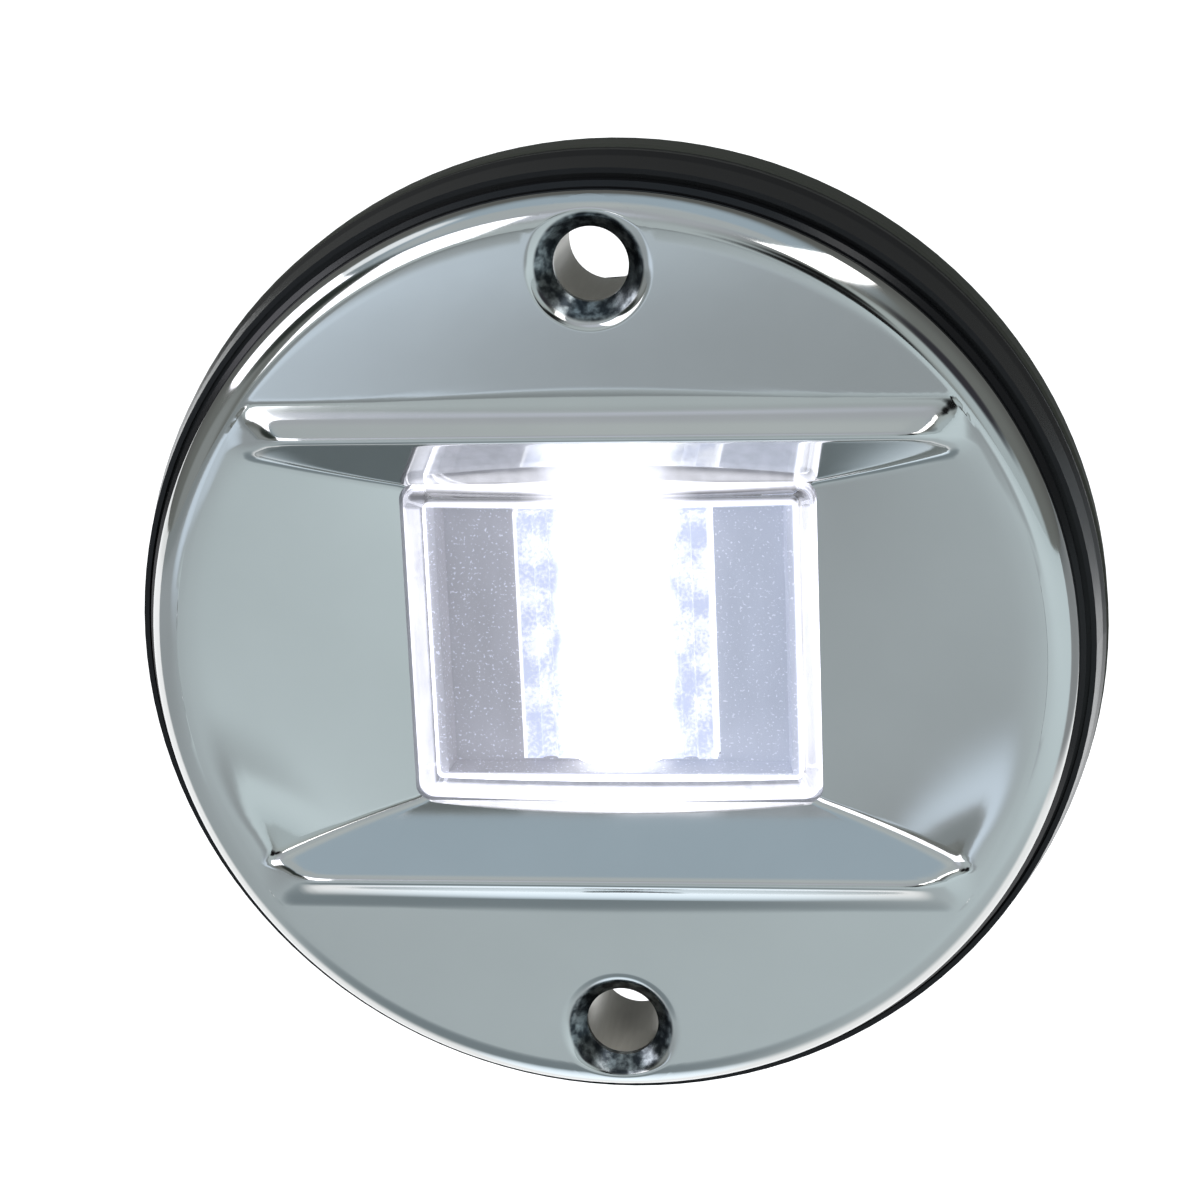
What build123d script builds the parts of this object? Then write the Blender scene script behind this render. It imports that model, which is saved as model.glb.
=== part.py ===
"""Flush-mounted LED stern light for a boat: a pressed metal face over a round plastic housing.

Lengths are in millimetres. The origin is the centre of the mounting plane, which is the back face
of the gasket. The light shines along -Y, the panel lies behind Y = 0, and +Z is up.
A height h in front of the mounting plane is at Y = -h, so sketches lie on Plane.XZ.offset(h).
"""
import os
from math import cos, radians, sin

from build123d import *

# Overall sizes
flange_radius = 38.1        # 3 inch plastic flange
face_radius = 36.0          # pressed metal face
spigot_radius = 25.0        # stands in a 2 inch cut-out
hole_offset = 30.5          # each mounting hole's distance from the centre
face_height = 13.0          # flat of the metal face above the mounting plane
skirt_height = 10.8         # back edge of the face's turned rim

# Pressed face
sheet = 0.8
rim_radius = 2.1
recess_side_radius = 33.0   # arc folds at the sides of the recess
recess_half_height = 16.45  # straight folds at its top and bottom, at face height
recess_corner = 3.5
recess_floor_height = 8.6
window_half_width, window_half_height, window_corner = 16.2, 12.95, 1.2
hood_height = 14.5
hood_crest_inner, hood_crest_outer, hood_crest_half = 17.5, 17.9, 24.6
hood_fold, hood_fold_half = 19.6, 26.4
mouth_height, mouth_rise = 2.0, 1.6   # the walls run on to the hoods, 0.8 out for 1 forward
wall_back_step = 0.85       # how far the recess wall's back lies behind its front
wall_back_wider, wall_back_taller, wall_back_corner = 0.4, 1.0, 0.3   # the back at the window
fold_back_wider, fold_back_taller = 1.2, 1.1                          # the back at the folds
hood_overlap = 1.0          # how far each hood's foot reaches under the recess's fold
dimple_wider, dimple_depth, dimple_taper = 0.5, 2.0, 25               # metal pressed back round a screw
punch_depth = 4.0           # longer than any metal it is cut through
countersink_radius, screw_hole_radius = 4.33, 2.85

# Housing
gasket_thickness = 4.0
boss_radius, boss_height = 5.3, 10.8
boss_clearance = 1.2        # the ring under the rim is cut back this far round each boss
dish_floor_height = 5.4
ring_inner_radius, ring_outer_radius, ring_height = 33.2, 33.9, 12.1   # carries the face's flat
flange_outside = [          # radius and height of each corner, from under the metal rim to the back
    (35.1, 10.8), (35.1, 10.2), (36.1, 10.2), (36.5, 9.8), (36.5, 8.2), (36.9, 8.2), (36.9, 8.9),
    (37.3, 8.9), (37.8, 6.2), (flange_radius, 5.2), (flange_radius, gasket_thickness)]
gasket_radius, gasket_gap, gasket_edge = 38.3, 0.3, 0.4
sleeve_radius, sleeve_outer_radius, gasket_hole_radius = 3.25, 3.8, 4.0
tub_inner_radius, ledge_ring_width = 22.8, 3.0
undercut_radius, undercut_end = 24.6, 1.5   # relief groove where the spigot leaves the flange
tub_depth = 13.0            # the spigot's open end, behind the mounting plane
ledge_front, ledge_back = 4.3, 1.3
ledge_half_width, ledge_half_height = 11.5, 10.5
blind_spare = 0.4           # a blind screw hole is this much deeper than its screw

# Lens
lens_half_width, lens_half_height, lens_corner = 16.0, 12.75, 1.3
lens_wall, lens_rounding, cavity_corner = 1.5, 0.7, 0.5
lens_crown_height, lens_edge_height = 9.75, 8.8
lens_flange_back, lens_flange_front = 5.0, 6.5
flange_half_width, flange_half_height, flange_corner = 17.4, 14.1, 2.5
lens_seal_opening, face_seal_opening = (14.7, 11.5), (16.1, 12.9)     # half widths and half heights
seal_corner = 1.0
steepest_edge = 0.7         # rounded lens edges lean less towards the front than this
crown_rise = lens_crown_height - lens_edge_height
crown_radius = (lens_half_width**2 + crown_rise**2) / (2 * crown_rise)

# Light engine
board_half_width, board_half_height, board_thickness = 15.5, 12.8, 1.6
board_front = ledge_back
board_back = board_front - board_thickness
pad_thickness, spreader_thickness = 0.4, 2.0
spreader_front = board_back - pad_thickness
spreader_back = spreader_front - spreader_thickness
board_screws_at = [(x, z) for x in (-13.5, 13.5) for z in (-11.2, 11.2)]
led_count, led_pitch, led_size, led_height = 4, 5.2, 3.5, 0.8
optic_half_width, optic_half_height = 7.7, 10.1
optic_shoulder, optic_crown = 6.0, 7.9
optic_core = 3.4            # half width of the raised round strip along the bar
optic_foot = 9.4            # the bar's foot is wider than the tray's slot, which holds it down
groove_offset, groove_radius = 5.6, 0.6   # scattering grooves beside the raised strip
tray_width, tray_height, tray_depth, tray_floor = 28.6, 22.2, 2.6, 0.8
tray_wall, tray_corner, tray_draft, slot_gap = 1.0, 0.4, 12, 0.3
phosphor_radius, phosphor_sunk, led_corner = 1.4, 0.1, 0.3
board_corner, pad_margin = 1.5, 0.5
board_screw_radius, board_screw_hole, board_screw_grip = 0.8, 1.1, 2.0
board_screw_head, board_screw_head_height, board_screw_cross = 1.6, 1.2, 0.8
pad_screw_hole, pin_hole, pin_clearance_hole = 1.3, 0.34, 0.8

# Driver
spacer_length, spacer_offset = 3.0, 9.6
driver_front = spreader_back - spacer_length
driver_thickness = 1.2
driver_back = driver_front - driver_thickness
driver_half_width, driver_half_height, driver_corner = 12.0, 9.5, 1.0
driver_screw_hole, driver_screw_grip = 1.1, 1.8
driver_screw_head, driver_screw_head_height, driver_screw_cross = 1.7, 1.2, 0.8
spacer_size, spacer_thread, spacer_tail = 1.9, 0.9, 1.6               # corner radius of the hexagon
pin_half, pin_recess, header_height = 0.23, 0.2, 2.2
header_width, header_depth = 7.6, 2.4
inductor_at, inductor_side, inductor_corner, inductor_base = (6.2, 5.2), 6.0, 1.2, 0.7
inductor_drum, inductor_drum_height, inductor_rounding = 2.7, 1.6, 0.3
terminals_at, terminal_size, terminal_corner = [(-1.4, -5.2), (1.4, -5.2)], (1.6, 2.4), 0.3
terminal_hole, terminal_height = 0.45, 0.6
link_pins_at = [(x, -7.6) for x in (-2.54, 0.0, 2.54)]

# Rear cover
cover_thickness, cover_radius, cover_edge = 2.0, 24.7, 0.5
cover_screw_radius, cover_screw_hole, cover_screw_grip, cover_boss_radius = 0.9, 1.2, 6.0, 2.6
cover_screw_head, cover_screw_head_height, cover_screw_cross = 2.1, 1.4, 1.0
seal_groove_inner, seal_groove_outer, seal_groove_depth = 23.5, 24.3, 0.6
head_rounding, point_chamfer, cross_slot, cross_depth = 0.45, 0.4, 0.5, 0.6   # shares of a screw's sizes
cover_screw_offset = 19.6
cover_screws_at = [(cover_screw_offset * cos(radians(a)), cover_screw_offset * sin(radians(a)))
                   for a in (0, 90, 180, 270)]
gland_neck_radius, gland_flange_radius, gland_tip_radius = 4.5, 5.8, 4.4
gland_lip, gland_length = 1.0, 6.0
lead_radius, lead_offset = 1.1, 1.9

os.makedirs("parts", exist_ok=True)


def front(h):
    """The plane at height h in front of the mounting plane, facing out of the light."""
    return Plane.XZ.offset(h)


def write(piece, name):
    """Label a finished piece and write it as its own node."""
    piece.part.label = name
    export_step(piece.part, f"parts/{name}.step")


# Face plate: one sheet-metal pressing with a turned rim, a recess for the lens and two hoods.
with BuildPart() as recess_front:
    with BuildSketch(front(recess_floor_height)) as window_outline:
        RectangleRounded(2 * window_half_width, 2 * window_half_height, window_corner)
    with BuildSketch(front(face_height)) as fold_outline:
        Circle(recess_side_radius)
        Rectangle(2 * recess_side_radius, 2 * recess_half_height, mode=Mode.INTERSECT)
        fillet(fold_outline.vertices(), recess_corner)
    with BuildSketch(front(face_height + mouth_height)) as mouth_outline:
        Circle(recess_side_radius + mouth_rise)
        Rectangle(2 * (recess_side_radius + mouth_rise), 2 * (recess_half_height + mouth_rise),
                  mode=Mode.INTERSECT)
        fillet(mouth_outline.vertices(), recess_corner)
    loft(sections=[window_outline.sketch, fold_outline.sketch], ruled=True)
    loft(sections=[fold_outline.sketch, mouth_outline.sketch], ruled=True)

with BuildPart() as recess_back:
    with BuildSketch(front(recess_floor_height - wall_back_step)):
        RectangleRounded(2 * window_half_width + wall_back_wider,
                         2 * window_half_height + wall_back_taller, window_corner + wall_back_corner)
    with BuildSketch(front(face_height - sheet / 2)) as back_outline:
        Circle(recess_side_radius + fold_back_wider / 2)
        Rectangle(2 * recess_side_radius + fold_back_wider, 2 * recess_half_height + fold_back_taller,
                  mode=Mode.INTERSECT)
        fillet(back_outline.vertices(), recess_corner)
    loft(ruled=True)

with BuildPart() as face_plate:
    with BuildSketch(front(skirt_height)):
        Circle(face_radius)
    extrude(amount=face_height - skirt_height)
    fillet(face_plate.faces().sort_by(Axis.Y)[0].edges(), rim_radius)
    offset(amount=-sheet, openings=face_plate.faces().sort_by(Axis.Y)[-1])
    for side in (1, -1):
        with BuildSketch(front(face_height - sheet / 2)):
            with Locations((0, side * (hood_fold + recess_half_height) / 2)):
                Rectangle(2 * hood_fold_half, hood_fold - recess_half_height + hood_overlap)
        with BuildSketch(front(hood_height)):
            with Locations((0, side * (hood_crest_inner + hood_crest_outer) / 2)):
                Rectangle(2 * hood_crest_half, hood_crest_outer - hood_crest_inner)
        loft(ruled=True)
    add(recess_back.part)
    with BuildSketch(front(face_height)):
        with Locations((0, hole_offset), (0, -hole_offset)):
            Circle(countersink_radius + dimple_wider)
    extrude(amount=-dimple_depth, taper=dimple_taper)
    add(recess_front.part, mode=Mode.SUBTRACT)
    with BuildSketch(front(recess_floor_height)):
        RectangleRounded(2 * window_half_width, 2 * window_half_height, window_corner)
    extrude(amount=-punch_depth, mode=Mode.SUBTRACT)
    for side in (1, -1):
        with Locations(Plane((0, -face_height, side * hole_offset), (1, 0, 0), (0, -1, 0))):
            CounterSinkHole(screw_hole_radius, countersink_radius, depth=punch_depth)
write(face_plate, "face_plate")

# Base housing: a moulded dish with a stepped flange, mounting bosses, a lens ledge and a rear tub.
with BuildPart() as base_housing:
    flange_back = gasket_thickness
    with BuildSketch(Plane.XY):
        with BuildLine():
            Polyline(
                (tub_inner_radius, -dish_floor_height), (ring_inner_radius, -dish_floor_height),
                (ring_inner_radius, -ring_height), (ring_outer_radius, -ring_height),
                *[(radius, -height) for radius, height in flange_outside],
                (undercut_radius, -flange_back), (undercut_radius, undercut_end),
                (spigot_radius, undercut_end), (spigot_radius, tub_depth),
                (tub_inner_radius, tub_depth), (tub_inner_radius, -ledge_back),
                (tub_inner_radius - ledge_ring_width, -ledge_back),
                (tub_inner_radius - ledge_ring_width, -ledge_front),
                (tub_inner_radius, -ledge_front), close=True)
        make_face()
    revolve(axis=Axis.Y)
    with BuildSketch(front(ledge_back)):
        Circle(tub_inner_radius)
        Rectangle(2 * ledge_half_width, 2 * ledge_half_height, mode=Mode.SUBTRACT)
    extrude(amount=ledge_front - ledge_back)
    with BuildSketch(front(flange_back)):
        with Locations((0, hole_offset), (0, -hole_offset)):
            Circle(boss_radius)
    extrude(amount=boss_height - flange_back)
    with BuildSketch(front(-tub_depth)):
        with Locations(*cover_screws_at):
            Circle(cover_boss_radius)
    extrude(amount=tub_depth + ledge_back)
    with BuildSketch(front(flange_back)):
        with Locations((0, hole_offset), (0, -hole_offset)):
            Circle(sleeve_outer_radius)
    extrude(amount=boss_height, mode=Mode.SUBTRACT)
    with BuildSketch(front(boss_height)):
        with Locations((0, hole_offset), (0, -hole_offset)):
            Circle(boss_radius + boss_clearance)
    extrude(amount=face_height - boss_height, mode=Mode.SUBTRACT)
    with BuildSketch(front(-tub_depth)):
        with Locations(*cover_screws_at):
            Circle(cover_screw_radius)
    extrude(amount=cover_screw_grip + blind_spare, mode=Mode.SUBTRACT)
    with BuildSketch(front(ledge_back)):
        with Locations(*board_screws_at):
            Circle(board_screw_radius)
    extrude(amount=board_screw_grip + blind_spare, mode=Mode.SUBTRACT)
write(base_housing, "base_housing")

# Metal sleeves line the mounting holes down to the panel, so the screws don't crush plastic or gasket.
with BuildPart() as screw_sleeves:
    with BuildSketch(front(0)):
        with Locations((0, hole_offset), (0, -hole_offset)):
            Circle(sleeve_outer_radius)
            Circle(sleeve_radius, mode=Mode.SUBTRACT)
    extrude(amount=boss_height)
write(screw_sleeves, "screw_sleeves")

# Gasket between the flange and the panel.
with BuildPart() as mounting_gasket:
    with BuildSketch(front(0)):
        Circle(gasket_radius)
        Circle(spigot_radius + gasket_gap, mode=Mode.SUBTRACT)
        with Locations((0, hole_offset), (0, -hole_offset)):
            Circle(gasket_hole_radius, mode=Mode.SUBTRACT)
    extrude(amount=gasket_thickness)
    fillet(mounting_gasket.edges().filter_by(GeomType.CIRCLE).sort_by(SortBy.RADIUS)[-2:], gasket_edge)
write(mounting_gasket, "mounting_gasket")

# Lens: a clear crowned box with a flange behind the face's window.
with BuildPart() as crown_outer:
    with BuildSketch(Plane.XY.offset(-lens_half_height)):
        with Locations((0, crown_radius - lens_crown_height)):
            Circle(crown_radius)
    extrude(amount=2 * lens_half_height)
with BuildPart() as crown_inner:
    with BuildSketch(Plane.XY.offset(lens_wall - lens_half_height)):
        with Locations((0, crown_radius - lens_crown_height)):
            Circle(crown_radius - lens_wall)
    extrude(amount=2 * (lens_half_height - lens_wall))
with BuildPart() as lens_cavity:
    with BuildSketch(front(lens_flange_back)):
        RectangleRounded(2 * (lens_half_width - lens_wall), 2 * (lens_half_height - lens_wall),
                         cavity_corner)
    extrude(amount=lens_crown_height)
    add(crown_inner.part, mode=Mode.INTERSECT)
with BuildPart() as lens:
    with BuildSketch(front(lens_flange_back)):
        RectangleRounded(2 * lens_half_width, 2 * lens_half_height, lens_corner)
    extrude(amount=lens_crown_height)
    add(crown_outer.part, mode=Mode.INTERSECT)
    front_edges = lens.edges().filter_by(lambda e: e.center().Y < -lens_flange_front and
                                         abs((e % 0.5).Y) < steepest_edge)
    fillet(front_edges, lens_rounding)
    with BuildSketch(front(lens_flange_back)):
        RectangleRounded(2 * flange_half_width, 2 * flange_half_height, flange_corner)
    extrude(amount=lens_flange_front - lens_flange_back)
    add(lens_cavity.part, mode=Mode.SUBTRACT)
write(lens, "lens")


def frame_seal(name, low, high, opening):
    """A flat rectangular ring under or over the lens flange."""
    with BuildPart() as ring:
        with BuildSketch(front(low)):
            RectangleRounded(2 * flange_half_width, 2 * flange_half_height, flange_corner)
            RectangleRounded(2 * opening[0], 2 * opening[1], seal_corner, mode=Mode.SUBTRACT)
        extrude(amount=high - low)
    write(ring, name)


frame_seal("lens_seal", ledge_front, lens_flange_back, lens_seal_opening)
frame_seal("face_seal", lens_flange_front, recess_floor_height - wall_back_step, face_seal_opening)

# Reflector tray: white moulding behind the lens with a slot for the light bar.
with BuildPart() as reflector_tray:
    with BuildSketch(front(ledge_front)):
        RectangleRounded(tray_width, tray_height, tray_corner)
    extrude(amount=tray_depth)
    with BuildSketch(front(ledge_front + tray_floor)):
        Rectangle(tray_width - 2 * tray_wall, tray_height - tray_wall)
    extrude(amount=tray_depth, taper=-tray_draft, mode=Mode.SUBTRACT)
    with BuildSketch(front(ledge_front)):
        Rectangle(2 * optic_half_width + slot_gap, 2 * optic_half_height + slot_gap)
    extrude(amount=tray_floor, mode=Mode.SUBTRACT)
write(reflector_tray, "reflector_tray")

# Light bar: clear cylindrical optic that spreads each diode's light sideways.
optic_back = ledge_back + led_height + slot_gap
with BuildPart() as light_bar:
    with BuildSketch(Plane.XY.offset(-optic_half_height)):
        with BuildLine():
            Polyline((optic_core, -optic_shoulder), (optic_half_width, -optic_shoulder),
                     (optic_half_width, -ledge_front), (optic_foot, -ledge_front),
                     (optic_foot, -optic_back), (-optic_foot, -optic_back),
                     (-optic_foot, -ledge_front), (-optic_half_width, -ledge_front),
                     (-optic_half_width, -optic_shoulder), (-optic_core, -optic_shoulder))
            ThreePointArc((-optic_core, -optic_shoulder), (0, -optic_crown),
                          (optic_core, -optic_shoulder))
        make_face()
    extrude(amount=2 * optic_half_height)
    with BuildSketch(Plane.XY.offset(-optic_half_height)):
        with Locations((-groove_offset, -optic_shoulder), (groove_offset, -optic_shoulder)):
            Circle(groove_radius)
    extrude(amount=2 * optic_half_height, mode=Mode.SUBTRACT)
write(light_bar, "light_bar")

# Diodes: four white packages in a column, each with a yellow phosphor window.
led_places = [(0, (i - (led_count - 1) / 2) * led_pitch) for i in range(led_count)]
with BuildPart() as led_packages:
    with BuildSketch(front(board_front)):
        with Locations(*led_places):
            RectangleRounded(led_size, led_size, led_corner)
            Circle(phosphor_radius, mode=Mode.SUBTRACT)
    extrude(amount=led_height)
write(led_packages, "led_packages")
with BuildPart() as led_phosphors:
    with BuildSketch(front(board_front)):
        with Locations(*led_places):
            Circle(phosphor_radius)
    extrude(amount=led_height - phosphor_sunk)
write(led_phosphors, "led_phosphors")


def drilled_plate(name, low, thickness, half_width, half_height, corner, holes):
    """A flat plate whose front is at height low, drilled through at each (place list, radius)."""
    with BuildPart() as plate:
        with BuildSketch(front(low)):
            RectangleRounded(2 * half_width, 2 * half_height, corner)
            for places, radius in holes:
                with Locations(*places):
                    Circle(radius, mode=Mode.SUBTRACT)
        extrude(amount=-thickness)
    write(plate, name)


spacer_places = [(-spacer_offset, 0), (spacer_offset, 0)]
drilled_plate("led_board", board_front, board_thickness, board_half_width, board_half_height,
              board_corner, [(board_screws_at, board_screw_hole), (link_pins_at, pin_hole)])
drilled_plate("thermal_pad", board_back, pad_thickness, board_half_width - pad_margin,
              board_half_height - pad_margin, board_corner,
              [(board_screws_at, pad_screw_hole), (link_pins_at, pin_clearance_hole)])
drilled_plate("heat_spreader", spreader_front, spreader_thickness, board_half_width,
              board_half_height, board_corner,
              [(board_screws_at, board_screw_hole), (link_pins_at, pin_clearance_hole),
               (spacer_places, spacer_thread)])
drilled_plate("driver_board", driver_front, driver_thickness, driver_half_width,
              driver_half_height, driver_corner,
              [(spacer_places, driver_screw_hole), (link_pins_at, pin_hole)])


def screws(name, head_height, places, shank_radius, shank_length, head_radius, head_thickness, cross):
    """Pan-head screws seen from the rear: heads behind head_height, shanks running forwards."""
    with BuildPart() as screw:
        with BuildSketch(front(head_height)):
            with Locations(*places):
                Circle(head_radius)
        extrude(amount=-head_thickness)
        fillet(screw.faces().sort_by(Axis.Y)[-len(places):].edges(), head_thickness * head_rounding)
        with BuildSketch(front(head_height)):
            with Locations(*places):
                Circle(shank_radius)
        extrude(amount=shank_length)
        chamfer(screw.faces().sort_by(Axis.Y)[:len(places)].edges(), shank_radius * point_chamfer)
        with BuildSketch(front(head_height - head_thickness)):
            with Locations(*places):
                Rectangle(2 * cross, cross * cross_slot)
                Rectangle(cross * cross_slot, 2 * cross)
        extrude(amount=head_thickness * cross_depth, mode=Mode.SUBTRACT)
    write(screw, name)


screws("board_screws", spreader_back, board_screws_at, board_screw_radius,
       board_front - spreader_back + board_screw_grip, board_screw_head, board_screw_head_height,
       board_screw_cross)
screws("driver_screws", driver_back, spacer_places, spacer_thread, driver_thickness + driver_screw_grip,
       driver_screw_head, driver_screw_head_height, driver_screw_cross)

# Brass spacers carry the driver board on the heat spreader; a tapped hole takes the driver screw.
with BuildPart() as spacers:
    with BuildSketch(front(spreader_back)):
        with Locations(*spacer_places):
            RegularPolygon(spacer_size, 6)
    extrude(amount=-spacer_length)
    with BuildSketch(front(spreader_back)):
        with Locations(*spacer_places):
            Circle(spacer_thread)
    extrude(amount=spacer_tail)
    with BuildSketch(front(driver_front)):
        with Locations(*spacer_places):
            Circle(spacer_thread)
    extrude(amount=driver_screw_grip, mode=Mode.SUBTRACT)
write(spacers, "spacers")

# Link pins join the two boards through a plastic header.
with BuildPart() as link_pins:
    with BuildSketch(front(board_front - pin_recess)):
        with Locations(*link_pins_at):
            Rectangle(2 * pin_half, 2 * pin_half)
    extrude(amount=driver_back - board_front - 3 * pin_recess)
write(link_pins, "link_pins")
with BuildPart() as pin_header:
    with BuildSketch(front(driver_front)):
        with Locations((0, link_pins_at[0][1])):
            Rectangle(header_width, header_depth)
        with Locations(*link_pins_at):
            Rectangle(2 * pin_half, 2 * pin_half, mode=Mode.SUBTRACT)
    extrude(amount=header_height)
write(pin_header, "pin_header")


def chips(name, places, width, height, thickness, corner):
    """Rectangular surface-mount components standing on the rear of the driver board."""
    with BuildPart() as chip:
        with BuildSketch(front(driver_back)):
            with Locations(*places):
                RectangleRounded(width, height, corner)
        extrude(amount=-thickness)
        chamfer(chip.faces().sort_by(Axis.Y)[-len(places):].edges(), corner)
    write(chip, name)


# Each row holds a component's places, its width, height and thickness, and its edge chamfer.
for component, places, width, height, thickness, corner in (
        ("driver_chip", [(-3.6, 3.6)], 4.0, 5.0, 1.5, 0.15),
        ("input_capacitors", [(0.6, 6.6), (0.6, 3.6), (-3.6, -1.6)], 3.2, 1.6, 1.4, 0.12),
        ("sense_resistors", [(-8.2, 5.6), (-8.2, 3.4), (0.6, 1.2)], 2.0, 1.25, 0.5, 0.08),
        ("polarity_diode", [(5.4, -6.6)], 4.3, 2.6, 2.1, 0.15),
        ("surge_diode", [(-7.4, -5.6)], 4.3, 3.6, 2.2, 0.15)):
    chips(component, places, width, height, thickness, corner)

# Power inductor: a square drum with a round wound core.
with BuildPart() as inductor:
    with BuildSketch(front(driver_back)):
        with Locations(inductor_at):
            RectangleRounded(inductor_side, inductor_side, inductor_corner)
    extrude(amount=-inductor_base)
    with BuildSketch(front(driver_back - inductor_base)):
        with Locations(inductor_at):
            Circle(inductor_drum)
    extrude(amount=-inductor_drum_height)
    fillet(inductor.faces().sort_by(Axis.Y)[-1].edges(), inductor_rounding)
write(inductor, "inductor")

# Solder terminals for the two supply leads.
with BuildPart() as supply_terminals:
    with BuildSketch(front(driver_back)):
        with Locations(*terminals_at):
            RectangleRounded(*terminal_size, terminal_corner)
            Circle(terminal_hole, mode=Mode.SUBTRACT)
    extrude(amount=-terminal_height)
write(supply_terminals, "supply_terminals")

# Rear cover, its ring seal and its screws.
with BuildPart() as rear_cover:
    with BuildSketch(front(-tub_depth)):
        Circle(cover_radius)
        Circle(gland_neck_radius, mode=Mode.SUBTRACT)
        with Locations(*cover_screws_at):
            Circle(cover_screw_hole, mode=Mode.SUBTRACT)
    extrude(amount=-cover_thickness)
    chamfer(rear_cover.faces().sort_by(Axis.Y)[-1].edges().sort_by(SortBy.LENGTH)[-1], cover_edge)
    with BuildSketch(front(-tub_depth)):
        Circle(seal_groove_outer)
        Circle(seal_groove_inner, mode=Mode.SUBTRACT)
    extrude(amount=-seal_groove_depth, mode=Mode.SUBTRACT)
write(rear_cover, "rear_cover")
with BuildPart() as cover_seal:
    with BuildSketch(front(-tub_depth)):
        Circle(seal_groove_outer)
        Circle(seal_groove_inner, mode=Mode.SUBTRACT)
    extrude(amount=-seal_groove_depth)
write(cover_seal, "cover_seal")
screws("cover_screws", -tub_depth - cover_thickness, cover_screws_at, cover_screw_radius,
       cover_thickness + cover_screw_grip, cover_screw_head, cover_screw_head_height, cover_screw_cross)

# Cable gland: a rubber grommet with two lead bores.
cover_back = tub_depth + cover_thickness
gland_front = tub_depth - gland_lip
gland_end = gland_front + gland_length
with BuildPart() as cable_gland:
    with BuildSketch(Plane.XY):
        with BuildLine():
            Polyline((0, gland_front), (gland_flange_radius, gland_front),
                     (gland_flange_radius, tub_depth), (gland_neck_radius, tub_depth),
                     (gland_neck_radius, cover_back), (gland_flange_radius, cover_back),
                     (gland_flange_radius, cover_back + gland_lip), (gland_tip_radius, gland_end),
                     (0, gland_end), close=True)
        make_face()
    revolve(axis=Axis.Y)
    with BuildSketch(front(-gland_end)):
        with Locations((-lead_offset, 0), (lead_offset, 0)):
            Circle(lead_radius)
    extrude(amount=gland_length, mode=Mode.SUBTRACT)
write(cable_gland, "cable_gland")
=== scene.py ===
from math import atan2, cos, pi, radians, sin, sqrt

import bpy
from mathutils import Matrix, Vector


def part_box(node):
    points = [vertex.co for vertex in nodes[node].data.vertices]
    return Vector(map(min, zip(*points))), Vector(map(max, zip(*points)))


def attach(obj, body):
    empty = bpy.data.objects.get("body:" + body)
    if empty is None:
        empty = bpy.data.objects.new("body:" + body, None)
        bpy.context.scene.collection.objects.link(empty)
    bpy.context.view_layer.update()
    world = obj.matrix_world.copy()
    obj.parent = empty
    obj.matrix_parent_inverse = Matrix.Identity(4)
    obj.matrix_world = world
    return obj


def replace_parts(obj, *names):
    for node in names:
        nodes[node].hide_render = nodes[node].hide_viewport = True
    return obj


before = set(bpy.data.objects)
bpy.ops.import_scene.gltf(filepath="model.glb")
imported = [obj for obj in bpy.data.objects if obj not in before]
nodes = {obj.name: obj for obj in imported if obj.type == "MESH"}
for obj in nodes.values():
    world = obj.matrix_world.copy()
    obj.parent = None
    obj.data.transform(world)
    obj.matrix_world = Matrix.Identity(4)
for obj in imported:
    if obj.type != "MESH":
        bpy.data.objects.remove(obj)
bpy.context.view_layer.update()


# Base housing: one injection moulding in black ABS. Its stepped flange shows round the metal face,
# and its tub goes through the panel. The mould leaves a fine even grain and slightly shiny edges.
mm = 0.001


class Signal:
    """One output of a material's nodes. Sums and products of signals add Math nodes."""

    def __init__(self, finish, socket):
        self.finish = finish
        self.socket = socket

    def math(self, operation, *others):
        return self.finish.math(operation, self, *others)

    def __add__(self, other):
        return self.math("ADD", other)

    def __radd__(self, other):
        return self.finish.math("ADD", other, self)

    def __sub__(self, other):
        return self.math("SUBTRACT", other)

    def __rsub__(self, other):
        return self.finish.math("SUBTRACT", other, self)

    def __mul__(self, other):
        return self.math("MULTIPLY", other)

    def __rmul__(self, other):
        return self.finish.math("MULTIPLY", other, self)

    def __abs__(self):
        return self.math("ABSOLUTE")

    def ramp(self, start, end):
        """0 at start, 1 at end and smooth between them; start may be the larger."""
        return self.finish.node("MapRange", {"interpolation_type": "SMOOTHSTEP"},
                                {"Value": self, "From Min": start, "From Max": end})


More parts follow.
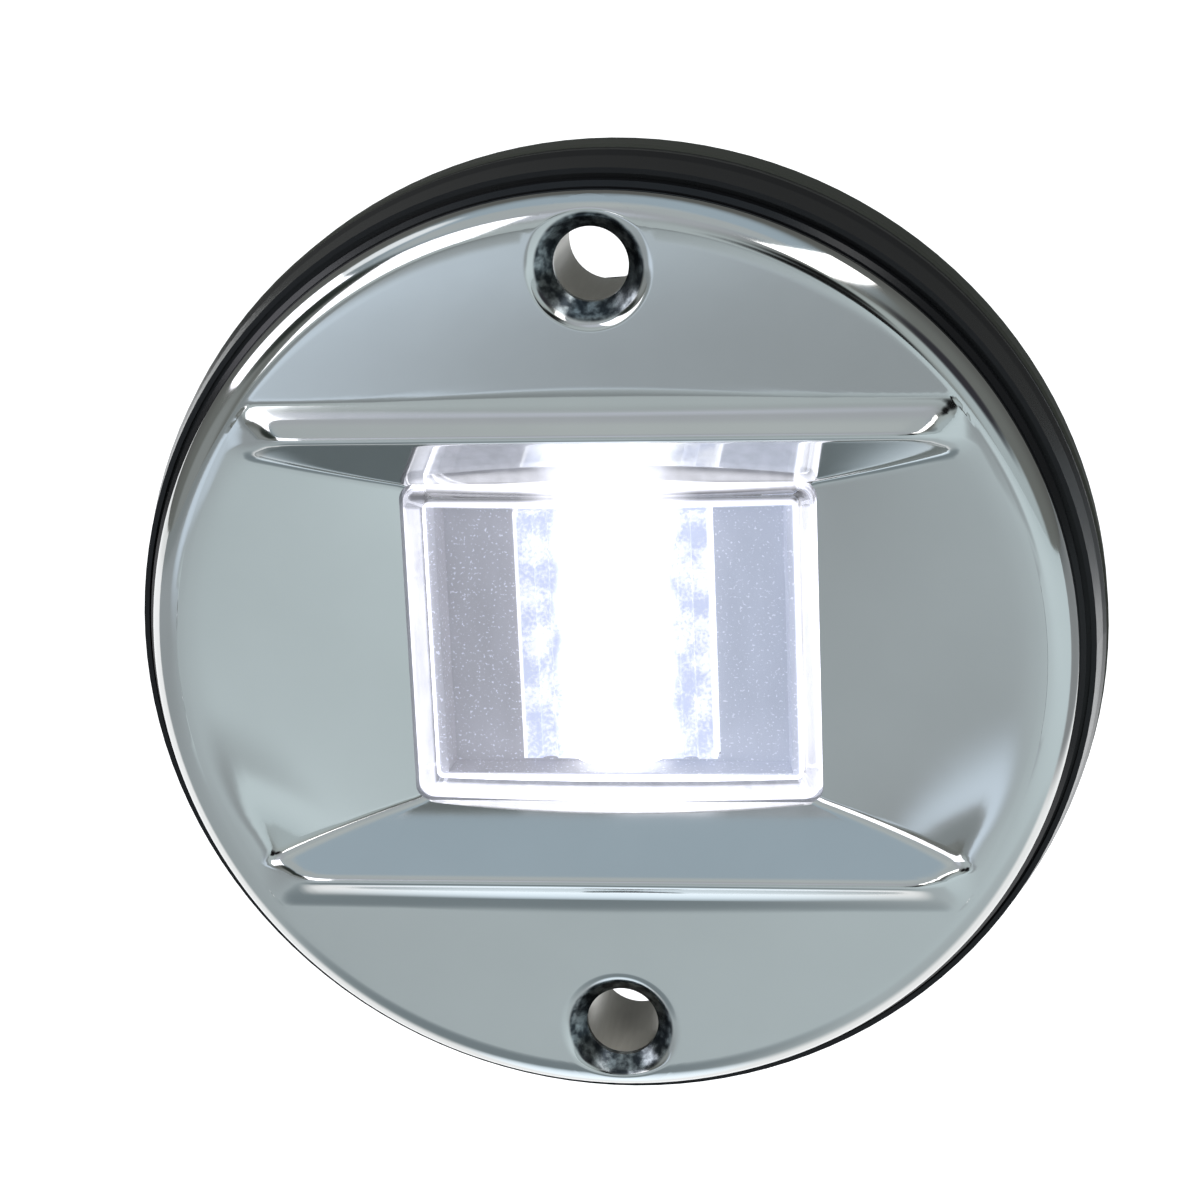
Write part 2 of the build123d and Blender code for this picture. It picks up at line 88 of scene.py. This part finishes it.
class Finish:
    """A material that is built node by node on one shader."""

    def __init__(self, name, owner=None, shader="Principled BSDF", **surface):
        self.material = owner or bpy.data.materials.new(name)
        self.material.use_nodes = True
        self.tree = self.material.node_tree
        self.shader = self.tree.nodes[shader]
        self.set(**surface)

    def set(self, **surface):
        """Sets the shader's sockets; an underscore in a name stands for a space."""
        for name, value in surface.items():
            self.plug(self.shader.inputs[name.replace("_", " ")], value)

    def plug(self, socket, value):
        if isinstance(value, Signal):
            self.tree.links.new(value.socket, socket)
        elif socket.type == "RGBA":
            socket.default_value = (*value, 1)
        else:
            socket.default_value = value

    def node(self, kind, settings=None, sockets=None, output=0):
        made = self.tree.nodes.new("ShaderNode" + kind)
        for name, value in (settings or {}).items():
            setattr(made, name, value)
        for name, value in (sockets or {}).items():
            self.plug(made.inputs[name], value)
        return Signal(self, made.outputs[output])

    def math(self, operation, *values):
        return self.node("Math", {"operation": operation}, dict(enumerate(values)))

    def axes(self):
        """The place on the object, in metres: across to the right, depth to the back, and up."""
        place = self.node("TexCoord", output=3)
        return [self.node("SeparateXYZ", sockets={0: place}, output=i) for i in range(3)]

    def noise(self, size, detail=3.0, stretch=(1, 1, 1)):
        """Soft noise from 0 to 1 whose blobs are about size metres wide."""
        place = self.node("TexCoord", output=3)
        scaled = self.node("Mapping", {"vector_type": "POINT"}, {"Vector": place, "Scale": stretch})
        return self.node("TexNoise", sockets={"Vector": scaled, "Scale": 1 / size, "Detail": detail})

    def mix(self, amount, first, second):
        return self.node("Mix", {"data_type": "RGBA"}, {0: amount, 6: first, 7: second}, output=2)

    def bump(self, height, depth):
        """Raises the surface by depth metres where height is 1."""
        self.set(Normal=self.node("Bump", sockets={"Height": height, "Distance": depth}))

    def on(self, *pieces):
        """Puts this finish on CAD nodes, or on new pieces given as objects."""
        for piece in pieces:
            mesh = (nodes[piece] if isinstance(piece, str) else piece).data
            mesh.materials.clear()
            mesh.materials.append(self.material)
        return self


def moulded(name, colour, roughness, grain_size=0.12 * mm, grain_depth=0.004 * mm, spread=0.12):
    """Moulded plastic or rubber: an even grain, with slow changes of shade and gloss."""
    paler, lift, cloud_size, grain_gloss = 1.35, 0.004, 6 * mm, 0.05
    finish = Finish(name, IOR=1.5)
    cloud = finish.noise(cloud_size)
    grain = finish.noise(grain_size, 2.0)
    lighter = tuple(min(1.0, part * paler + lift) for part in colour)
    finish.set(Base_Color=finish.mix(cloud, colour, lighter),
               Roughness=roughness - spread / 2 + spread * cloud + grain_gloss * grain)
    finish.bump(grain, grain_depth)
    return finish


housing_black = moulded("housing_black", (0.004, 0.004, 0.005), 0.22, spread=0.10)
housing_black.set(IOR=1.32)
housing_black.on("base_housing")

# Sleeves: two short metal tubes pressed into the mounting holes. The screws clamp on them and
# not on the plastic. They are cut from drawn tube, so the bore has a satin finish.
sleeve_metal = Finish("sleeve_metal", Metallic=1.0)
drawn = sleeve_metal.noise(0.35 * mm, 3.0, stretch=(1, 0.12, 1))
sleeve_metal.set(Base_Color=sleeve_metal.mix(drawn, (0.56, 0.54, 0.50), (0.74, 0.73, 0.69)),
                 Roughness=0.30 + 0.22 * drawn)
sleeve_metal.bump(drawn, 0.006 * mm)
sleeve_metal.on("screw_sleeves")

# Mounting gasket: a ring punched from sheet rubber. Its cut edge is matt and a little dusty.
# It seals the flange to the panel and is held by the two screws.
moulded("gasket_rubber", (0.021, 0.022, 0.015), 0.78, 0.25 * mm, 0.02 * mm).on("mounting_gasket")


# Light engine: diodes on a white board, a heat spreader behind it and the driver board on spacers.
# Boards are fibreglass under solder resist, and the small parts are soldered to them.
def sheet_metal(name, dull, bright, roughness, lay):
    """Rolled, drawn or turned metal: its lay shows as fine streaks of gloss."""
    streak_size, streak_gloss, streak_depth = 1.5 * mm, 0.18, 0.003 * mm
    finish = Finish(name, Metallic=1.0)
    streak = finish.noise(streak_size, 4.0, stretch=lay)
    finish.set(Base_Color=finish.mix(streak, dull, bright), Roughness=roughness + streak_gloss * streak)
    finish.bump(streak, streak_depth)
    return finish


sheet_metal("spreader_metal", (0.55, 0.56, 0.57), (0.78, 0.79, 0.80), 0.28, lay=(1, 1, 14)).on(
    "heat_spreader")
sheet_metal("screw_steel", (0.42, 0.42, 0.43), (0.66, 0.66, 0.67), 0.22, lay=(6, 1, 6)).on(
    "board_screws", "driver_screws", "cover_screws")
sheet_metal("spacer_brass", (0.60, 0.44, 0.18), (0.80, 0.64, 0.32), 0.22, lay=(1, 8, 1)).on(
    "spacers", "link_pins")
sheet_metal("tinned_copper", (0.52, 0.51, 0.49), (0.76, 0.75, 0.73), 0.30, lay=(1, 1, 1)).on(
    "supply_terminals")
moulded("white_board", (0.66, 0.67, 0.68), 0.34).on("led_board")
moulded("green_board", (0.015, 0.12, 0.05), 0.30).on("driver_board")
moulded("thermal_silicone", (0.24, 0.30, 0.38), 0.62).on("thermal_pad")
moulded("chip_epoxy", (0.018, 0.018, 0.019), 0.48).on(
    "driver_chip", "polarity_diode", "surge_diode", "pin_header")
moulded("ferrite", (0.05, 0.05, 0.054), 0.6, 0.2 * mm, 0.01 * mm).on("inductor")
moulded("capacitor_ceramic", (0.42, 0.30, 0.18), 0.45).on("input_capacitors")
moulded("resistor_glaze", (0.02, 0.02, 0.025), 0.25).on("sense_resistors")
moulded("diode_body", (0.78, 0.78, 0.76), 0.4).on("led_packages")

phosphor = Finish("lit_phosphor", Base_Color=(1.0, 0.93, 0.62), Roughness=0.5, Emission_Strength=1.2)
phosphor.set(Emission_Color=phosphor.mix(phosphor.noise(0.6 * mm), (1.0, 0.97, 0.90), (1.0, 0.98, 0.96)))
phosphor.on("led_phosphors")

# Reflector tray: a grey-white moulding that hides the board beside the light bar. The diodes' light on it
# is painted in as a glow, from the middle and more on the right, and painted glints stand for small
# bright points from specks in the clear front.
tray_plastic = Finish("tray_plastic", IOR=1.5, Emission_Strength=1.0)
across, _, _ = tray_plastic.axes()
tray_cloud = tray_plastic.noise(2.2 * mm, 4.0, stretch=(1, 1, 0.35))
# Painted glints: small bright points laid into the tray's painted glow.
tray_glints = tray_plastic.noise(0.22 * mm, 2.0).ramp(0.60, 0.70)
tray_glow = tray_plastic.mix(across.ramp(-6 * mm, 7 * mm), (0.15, 0.145, 0.16), (0.23, 0.26, 0.34))
tray_glow = tray_plastic.mix(0.7 * tray_glints, tray_glow, (0.62, 0.64, 0.74))
tray_plastic.set(Base_Color=tray_plastic.mix(tray_cloud, (0.26, 0.26, 0.28), (0.42, 0.42, 0.46)),
                 Emission_Color=tray_glow, Roughness=0.35 + 0.1 * tray_cloud)
tray_plastic.bump(tray_cloud, 0.02 * mm)
tray_plastic.on("reflector_tray")

# Light bar: clear acrylic over the diode column. The middle glows over its whole length, widest in
# front of each diode, and the moulded sides scatter a cooler light up to their bright outer edges.
led_low, led_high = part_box("led_packages")
led_count, led_share = 4, 0.673      # share of the pitch that one diode takes up
led_pitch = (led_high[2] - led_low[2]) / (led_count - 1 + led_share)
core_half_width, core_swell, core_blur = 3.1 * mm, 0.45 * mm, (1.7 * mm, -0.4 * mm)
bar_edge, bar_edge_width = 7.35 * mm, 0.18 * mm
bar = Finish("bar_acrylic", Base_Color=(0.30, 0.32, 0.36), IOR=1.49, Emission_Strength=1.0)
across, _, up = bar.axes()
swell = (up * (2 * pi / led_pitch)).math("COSINE") * -0.5 + 0.5
core = (abs(across) - (core_half_width + core_swell * swell)).ramp(*core_blur)
glitter = bar.noise(0.30 * mm, 4.0)
haze = bar.noise(2.2 * mm, 3.0)
side_light = bar.mix((glitter * 0.5 + haze * 0.7).ramp(0.48, 0.78), (0.46, 0.50, 0.68), (1.0, 1.0, 1.05))
lit = bar.mix(core, side_light, (2.4, 2.4, 2.4))
edge_line = (abs(across) - bar_edge).ramp(0.0, bar_edge_width)
bar.set(Emission_Color=bar.mix(edge_line, lit, (1.1, 1.1, 1.15)), Roughness=0.12 + 0.1 * haze)
bar.bump(glitter, 0.03 * mm)
bar.on("light_bar")

# Silicone rings: one under the lens flange, one between it and the metal face, one under the cover.
# They are moulded soft and grey, and only their edges would show with the light taken apart.
moulded("seal_silicone", (0.30, 0.31, 0.33), 0.55).on("lens_seal", "face_seal", "cover_seal")

# Lens: a clear polycarbonate box with a bowed front. Its walls carry light from the diodes, so they
# glow white at the edges, and the front is a little wavy as moulded plastic is.
lens_half_width, lens_half_height, lens_wall = 16.0 * mm, 12.75 * mm, 1.5 * mm
lens_clear = Finish("lens_clear", Base_Color=(0.97, 0.975, 1.0), IOR=1.49, Transmission_Weight=1.0,
                    Emission_Strength=1.0)
across, depth, up = lens_clear.axes()
inner_x, inner_z = lens_half_width - lens_wall, lens_half_height - lens_wall
into_wall = (abs(across) - inner_x).math("MAXIMUM", abs(up) - inner_z)
wall_glow = into_wall.ramp(-0.1 * mm, 0.15 * mm)
edge_shine = into_wall.ramp(1.0 * mm, 1.45 * mm)
# Painted glow: a thin bright line round the frame on the lens's inner face.
frame_glow_line = 1.0 - abs(into_wall + 0.05 * mm).ramp(0.10 * mm, 0.30 * mm)
inner_face = depth.ramp(-6.0 * mm, -7.0 * mm) * depth.ramp(-8.75 * mm, -8.60 * mm)
top_strip = up.ramp(inner_z - 0.3 * mm, inner_z) * up.ramp(lens_half_height, lens_half_height - 0.45 * mm)
shaded_top = top_strip * abs(across).ramp(3.0 * mm, 7.5 * mm)
wall_streak = lens_clear.noise(0.8 * mm, 3.0, stretch=(1, 0.2, 0.2))
wavy = lens_clear.noise(3 * mm, 2.0)
glow = wall_glow * (0.34 + 0.48 * wall_streak) + 0.25 * edge_shine
glow = glow * (1.0 - 0.8 * shaded_top) + 0.9 * frame_glow_line * inner_face
lens_clear.set(Emission_Color=lens_clear.mix(glow, (0.0, 0.0, 0.0), (0.92, 0.92, 1.0)),
               Roughness=0.015 + 0.04 * wavy)
lens_clear.bump(wavy, 0.01 * mm)
lens_clear.on("lens")

# Face plate: one pressing in polished stainless steel. The die forms the lens recess, the two hoods
# and the screw countersinks and turns the rim back over the plastic; then it is buffed bright.
sheet = 0.8 * mm
face_radius, face_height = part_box("face_plate")[1][0], 13.0 * mm
rim_width, rim_depth = 2.4 * mm, 2.2 * mm
flat_radius = face_radius - rim_width
window_half_width, window_half_height, window_corner = 16.2 * mm, 12.95 * mm, 1.2 * mm
floor_height, wall_rise = 8.6 * mm, 1.233
panel_radius, panel_drawn_in = 33.0 * mm, 1.6 * mm      # outer edge of the two sloping side panels
crest_half_height, crest_corner = 17.6 * mm, 3.5 * mm
hood_fold, hood_fold_radius, hood_fold_corner, hood_slope = 19.6 * mm, 33.3 * mm, 4.5 * mm, 0.79
hood_end, hood_end_slope = 26.8 * mm, 0.62
tiny = 1e-9      # keeps a square root real past the side panels
corner_blend, hood_blend, flat_blend = 0.45 * mm, 1.0 * mm, 0.9 * mm
valley_blend, crest_blend, crest_start, crest_reach = 0.40 * mm, 0.75 * mm, 14 * mm, 3 * mm


def soft_low(a, b, blend):
    """The lower of two heights, with the edge between them rounded over blend."""
    near = max(blend - abs(a - b), 0) / blend
    return min(a, b) - near * near * blend / 4


def soft_high(a, b, blend):
    return -soft_low(-a, -b, blend)


def pressed_height(x, z):
    """How far the polished surface stands in front of the mounting plane at x, z."""
    x, z = abs(x), abs(z)
    out = sqrt(x * x + z * z)
    if out > flat_radius:
        t = min((out - flat_radius) / rim_width, 1)
        return face_height - rim_depth * (1 - sqrt(1 - t * t))
    drawn_in = panel_drawn_in * (min(z, crest_half_height) / crest_half_height) ** 2
    panel_end = sqrt(max(panel_radius ** 2 - z * z, tiny)) - drawn_in
    panel_rise = face_height - floor_height
    side = floor_height + panel_rise * (x - window_half_width) / (panel_end - window_half_width)
    end = floor_height + (z - window_half_height) * wall_rise
    recess = soft_high(side, end, corner_blend)
    hood = soft_low(face_height + (hood_fold - z) * hood_slope,
                    face_height + (hood_end - x) * hood_end_slope, hood_blend)
    outside = soft_high(face_height, hood, flat_blend)
    near_crest = min(max((z - crest_start) / crest_reach, 0), 1)
    return soft_low(recess, outside, valley_blend + (crest_blend - valley_blend) * near_crest)


def mirrored(quarter):
    """A whole outline from its first quarter, which starts on the X axis and stops before the Z axis."""
    first = quarter + [(0.0, quarter[-1][1])]
    second = [(-x, z) for x, z in reversed(quarter)]
    lower = [(x, -z) for x, z in reversed((first + second)[1:-1])]
    return first + second + lower


def box_outline(half_width, half_height, corner, sides, ends, corners):
    """Points round a rectangle with rounded corners, from the right side's middle anticlockwise."""
    quarter = [(half_width, (half_height - corner) * i / sides) for i in range(sides)]
    quarter += [(half_width - corner + corner * cos(a), half_height - corner + corner * sin(a))
                for a in (pi / 2 * i / corners for i in range(corners))]
    quarter += [((half_width - corner) * (1 - i / ends), half_height) for i in range(ends)]
    return mirrored(quarter)


def bowed_outline(radius, half_height, corner, sides, ends, corners):
    """The same for a shape with straight ends whose sides are arcs about the centre."""
    centre_x = sqrt((radius - corner) ** 2 - (half_height - corner) ** 2)
    turn = atan2(half_height - corner, centre_x)
    quarter = [(radius * cos(turn * i / sides), radius * sin(turn * i / sides)) for i in range(sides)]
    quarter += [(centre_x + corner * cos(a), half_height - corner + corner * sin(a))
                for a in (turn + (pi / 2 - turn) * i / corners for i in range(corners))]
    quarter += [(centre_x * (1 - i / ends), half_height) for i in range(ends)]
    return mirrored(quarter)


def circle_outline(radius, like):
    """Points on a circle in the directions of another outline's points."""
    return [(radius * x / sqrt(x * x + z * z), radius * z / sqrt(x * x + z * z)) for x, z in like]


def outlines_between(first, last, count):
    """The first outline and those on the way to the last one, which is left out."""
    return [[(a[0] + (b[0] - a[0]) * t, a[1] + (b[1] - a[1]) * t) for a, b in zip(first, last)]
            for t in (i / count for i in range(count))]


def wrapped_sheet(name, rings):
    """A surface through rings of points, made from a flat grid that is closed into a tube."""
    columns, rows = len(rings[0]), len(rings) - 1
    bpy.ops.object.select_all(action="DESELECT")
    bpy.ops.mesh.primitive_grid_add(x_subdivisions=columns, y_subdivisions=rows, size=1)
    piece = bpy.context.object
    piece.name = piece.data.name = name
    for vertex in piece.data.vertices:
        column = round((vertex.co.x + 0.5) * columns)
        row = round((vertex.co.y + 0.5) * rows)
        vertex.co = rings[row][column % columns]
    bpy.ops.object.mode_set(mode="EDIT")
    bpy.ops.mesh.select_all(action="SELECT")
    bpy.ops.mesh.remove_doubles(threshold=1e-6)
    bpy.ops.object.mode_set(mode="OBJECT")
    if sum(polygon.normal.y * polygon.area for polygon in piece.data.polygons) > 0:
        piece.data.flip_normals()
    return piece


def apply_modifier(piece, kind, **settings):
    modifier = piece.modifiers.new(kind.title(), kind)
    for name, value in settings.items():
        setattr(modifier, name, value)
    bpy.context.view_layer.objects.active = piece
    bpy.ops.object.modifier_apply(modifier=modifier.name)


points = {"sides": 16, "ends": 32, "corners": 9}
recess_rings, hood_rings, flat_rings, rim_rings = 26, 12, 14, 14
window = box_outline(window_half_width, window_half_height, window_corner, **points)
crest = bowed_outline(panel_radius, crest_half_height, crest_corner, **points)
fold = bowed_outline(hood_fold_radius, hood_fold, hood_fold_corner, **points)
flat_edge = circle_outline(flat_radius, fold)
outlines = (outlines_between(window, crest, recess_rings) + outlines_between(crest, fold, hood_rings)
            + outlines_between(fold, flat_edge, flat_rings))
rings = [[(x, -pressed_height(x, z), z) for x, z in outline] for outline in outlines]
for i in range(rim_rings + 1):
    t = pi / 2 * i / rim_rings
    wider = (flat_radius + rim_width * sin(t)) / flat_radius
    rim_height = face_height - rim_depth * (1 - cos(t))
    rings.append([(x * wider, -rim_height, z * wider) for x, z in flat_edge])
face = wrapped_sheet("polished_face", rings)
apply_modifier(face, "SOLIDIFY", thickness=sheet, offset=-1, use_even_offset=True)

# Countersinks: the die draws the sheet down to each screw hole in a cone. They are shaped apart, on
# round rings, and set into holes punched in the face. The cone is rougher than the face, and its colour
# is painted dark and mottled as shade down in the hole.
hole_offset, hole_radius, sink_reach = 30.5 * mm, 2.85 * mm, 5.3 * mm
neck_start, neck_end, cone_foot, lip_blend = 11.0 * mm, 11.3 * mm, 11.55 * mm, 0.55 * mm
sink_sides, sink_rings, sink_thinning, punch_length = 96, 26, 0.8, 30 * mm
smooth_angle = radians(38)


def sink_outline(radius, hole_z):
    """Points on a circle round a screw hole."""
    return [(radius * cos(2 * pi * i / sink_sides), hole_z + radius * sin(2 * pi * i / sink_sides))
            for i in range(sink_sides)]


cups = []
for hole_z in (hole_offset, -hole_offset):
    bpy.ops.object.select_all(action="DESELECT")
    bpy.ops.mesh.primitive_cylinder_add(vertices=sink_sides, radius=sink_reach, depth=punch_length,
                                        location=(0, -face_height, hole_z),
                                        rotation=(pi / 2, 0, 0))
    punch = bpy.context.object
    apply_modifier(face, "BOOLEAN", object=punch, operation="DIFFERENCE", solver="EXACT")
    bpy.data.objects.remove(punch)
    cup_rings = [[(x, -height, z) for x, z in sink_outline(hole_radius, hole_z)]
                 for height in (neck_start, neck_end)]
    for j in range(sink_rings + 1):
        radius = hole_radius + (sink_reach - hole_radius) * j / sink_rings
        cone = cone_foot + (radius - hole_radius)
        cup_rings.append([(x, -soft_low(pressed_height(x, z), cone, lip_blend), z)
                          for x, z in sink_outline(radius, hole_z)])
    cup = wrapped_sheet("countersink", cup_rings)
    apply_modifier(cup, "SOLIDIFY", thickness=sheet * sink_thinning, offset=-1, use_even_offset=True)
    cups.append(cup)

bpy.ops.object.select_all(action="DESELECT")
for part in cups + [face]:
    part.select_set(True)
bpy.context.view_layer.objects.active = face
bpy.ops.object.join()
bpy.ops.object.shade_smooth_by_angle(angle=smooth_angle)

shaded_cone_radius, shaded_cone_fade = 4.25 * mm, 0.25 * mm
lit_height, lit_half_width = 4.75 * mm, 15.9 * mm      # patch of diode light on the upper recess wall
polished = Finish("polished_steel", Metallic=1.0, Emission_Strength=1.0)
smear = polished.noise(9 * mm, 3.0)
buffing = polished.noise(1.2 * mm, 5.0, stretch=(1, 1, 0.25))
across, _, up = polished.axes()
past_hole = abs(up) - hole_offset
from_hole = (across * across + past_hole * past_hole).math("SQRT")
# Painted shade: the cone round each screw hole is painted dark and mottled; it is also made rougher.
shaded_cone = from_hole.ramp(shaded_cone_radius, shaded_cone_radius - shaded_cone_fade)
mottle = polished.noise(0.9 * mm, 5.0).ramp(0.38, 0.72)
buffed_colour = polished.mix(smear, (0.545, 0.550, 0.541), (0.595, 0.598, 0.590))
cone_shade_colour = polished.mix(mottle, (0.03, 0.036, 0.042), (0.30, 0.33, 0.34))
# The diodes throw a soft patch of light through the lens's top on the upper wall of the recess.
climb = up - window_half_height
on_wall = climb.ramp(0.0, 0.3 * mm) * climb.ramp(lit_height, lit_height - 0.4 * mm)
above_lens = (abs(across - 0.4 * climb) + 0.2 * climb).ramp(lit_half_width, lit_half_width - 1.0 * mm)
above_diodes = abs(across).ramp(6 * mm, 3 * mm)
throw = 0.13 + 0.20 * polished.noise(1.1 * mm, 3.0, stretch=(1, 1, 0.5)) + 0.5 * above_diodes
polished.set(Base_Color=polished.mix(shaded_cone, buffed_colour, cone_shade_colour),
             Roughness=0.035 + 0.05 * smear + 0.02 * buffing + 0.16 * shaded_cone,
             Emission_Color=polished.mix(on_wall * above_lens * throw, (0, 0, 0), (0.92, 0.95, 1.1)))
polished.bump(polished.noise(5 * mm, 2.0), 0.004 * mm)
polished.on(face)
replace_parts(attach(face, "root"), "face_plate")

# Rear cover and cable gland: a moulded disc with a fine spark-eroded texture, held by four screws,
# and a rubber grommet with two bores for the leads.
moulded("cover_plastic", (0.012, 0.012, 0.013), 0.5, 0.3 * mm, 0.02 * mm).on("rear_cover")
moulded("gland_rubber", (0.016, 0.016, 0.016), 0.65, 0.2 * mm, 0.01 * mm).on("cable_gland")

# Studio floor: a pale plain sheet with light and shade painted on it, for the polished face to mirror.
# Behind the light it glows white, with a painted dark band off to the right. In front its colour and glow
# are darker, getting darker to the left, with soft painted patches of light and shade and a painted
# bright spot close under the light.
floor_level, floor_size = -0.100, 8
bpy.ops.object.select_all(action="DESELECT")
bpy.ops.mesh.primitive_plane_add(size=floor_size, location=(0, 0, floor_level))
floor = bpy.context.object
floor.name = "studio_floor"
floor_paint = Finish("floor_paint", Roughness=0.9, Emission_Strength=1.0)
across, away, _ = floor_paint.axes()


def spot(x, y, radius):
    """1 at a place on the floor, falling softly to 0 at radius."""
    off_x, off_y = across - x, away - y
    return (off_x * off_x + off_y * off_y).ramp(radius * radius, 0.0)


front_glow = floor_paint.mix(across.ramp(-0.32, 0.28), (0.225, 0.245, 0.25), (0.645, 0.755, 0.785))
for x, y, radius, strength, colour in ((-0.24, -0.62, 0.30, 0.95, (0.68, 0.80, 0.93)),
                                       (0.0, -0.60, 0.22, 0.8, (0.16, 0.17, 0.17)),
                                       (-0.03, -0.065, 0.075, 0.9, (0.06, 0.09, 0.10)),
                                       (0.08, -0.035, 0.09, 0.35, (0.25, 0.25, 0.25))):
    front_glow = floor_paint.mix(spot(x, y, radius) * strength, front_glow, colour)
rear_glow = floor_paint.mix((across - 0.10 * away).ramp(0.13, 0.20), (1.0, 1.0, 1.0), (0.05, 0.05, 0.05))
behind = away.ramp(-0.04, 0.0)
glow = floor_paint.mix(behind, front_glow, rear_glow)
glow = floor_paint.mix(spot(-0.011, -0.016, 0.034) * 0.66, glow, (1.35, 1.58, 1.78))
floor_paint.set(Base_Color=floor_paint.mix(behind, (0.25, 0.27, 0.28), (0.5, 0.5, 0.5)),
                Emission_Color=glow)
floor_paint.on(floor)

# Studio room: a dim room with paler and darker parts of walls and ceiling, which show as soft bands
# in the rim and the hoods.
room = Finish("room", bpy.data.worlds.new("studio"), "Background", Strength=1.0)
bpy.context.scene.world = room.material
look = room.node("TexCoord", output=0)


def towards(azimuth, elevation):
    """A unit vector; azimuth 0 is straight in front of the light and 90 to its right."""
    a, e = radians(azimuth), radians(elevation)
    return (sin(a) * cos(e), -cos(a) * cos(e), sin(e))


def patch(azimuth, elevation, full, gone):
    """1 within full degrees of a direction and 0 beyond gone degrees."""
    facing = room.node("VectorMath", {"operation": "DOT_PRODUCT"},
                       {0: look, 1: towards(azimuth, elevation)}, output=1)
    return facing.ramp(cos(radians(gone)), cos(radians(full)))


colour = room.mix(patch(180, 0, 30, 100), (0.22, 0.235, 0.225), (0.15, 0.155, 0.15))
for azimuth, elevation, full, gone, shade in (
        (-15, 74, 24, 52, (0.50, 0.62, 0.71)), (-14, 56, 6, 24, (0.66, 0.72, 0.73)),
        (-8, 35, 8, 24, (0.58, 0.62, 0.66)),
        (-95, 50, 7, 14, (1.25, 1.32, 1.38)), (-13, 30, 3, 12, (0.72, 0.77, 0.86)),
        (-8, 0, 6, 30, (0.62, 0.70, 0.72)), (25, 12, 6, 16, (0.55, 0.62, 0.62)),
        (42, -2, 15, 27, (0.60, 0.70, 0.73)), (-60, -2, 12, 24, (0.36, 0.39, 0.39)),
        (-44, 54, 8, 18, (0.60, 0.66, 0.68)), (16, 52, 6, 16, (0.60, 0.66, 0.68)),
        (-50, 26, 5, 15, (0.04, 0.05, 0.045)), (48, 22, 7, 17, (0.05, 0.05, 0.06)),
        (6, 4, 4, 9, (0.01, 0.01, 0.01)), (11, 14, 3, 8, (0.01, 0.01, 0.01))):
    colour = room.mix(patch(azimuth, elevation, full, gone), colour, shade)
room.set(Color=colour)


# Lights: two tall windows in front on the left and a long ceiling lamp on the right. They give the
# rim its white streaks.
def softbox(name, place, along, width, height, radiance, colour):
    """A rectangular light that faces the object, with its width along a direction."""
    data = bpy.data.lights.new(name, "AREA")
    data.shape, data.size, data.size_y = "RECTANGLE", width, height
    data.energy, data.color = radiance * pi * width * height, colour
    lamp = bpy.data.objects.new(name, data)
    bpy.context.scene.collection.objects.link(lamp)
    away = Vector(place).normalized()
    side = (Vector(along) - away * away.dot(Vector(along))).normalized()
    lamp.matrix_world = (Matrix.Translation(place)
                         @ Matrix((side, away.cross(side), away)).transposed().to_4x4())


softbox("left_window", towards(-84, 31), (0, 1, 0), 0.66, 0.40, 3.0, (0.93, 0.92, 1.0))
softbox("front_window", towards(-26, 21), (1, 0, 0), 0.32, 0.60, 2.4, (0.95, 0.94, 1.0))
softbox("ceiling_lamp", (0.645, -0.5, 1.0), (0.098, 1, 0), 2.0, 0.24, 3.0, (1.0, 0.98, 0.97))

# Camera: close in front, a little above and to the right, and turned a little on its side.
# It looks at a point just above the middle of the face.
view_azimuth, view_elevation, view_roll = 8.2, 17.3, radians(-2.45)
view_distance, focal_length, sensor = 0.245, 96.0, 36.0
face_centre = Vector((0, -face_height, 0))
eye = face_centre + Vector(towards(view_azimuth, view_elevation)) * view_distance
target = face_centre + Vector((-0.17 * mm, 0, 4.9 * mm))
back = (eye - target).normalized()
level = Vector((0, 0, 1)).cross(back).normalized()
upward = back.cross(level)
right = level * cos(view_roll) + upward * sin(view_roll)
top = upward * cos(view_roll) - level * sin(view_roll)
camera_data = bpy.data.cameras.new("camera")
camera_data.lens, camera_data.sensor_width = focal_length, sensor
camera_data.clip_start = 0.01
camera = bpy.data.objects.new("camera", camera_data)
bpy.context.scene.collection.objects.link(camera)
camera.matrix_world = Matrix.Translation(eye) @ Matrix((right, top, back)).transposed().to_4x4()
bpy.context.scene.camera = camera
bpy.context.scene.view_settings.view_transform = "Standard"
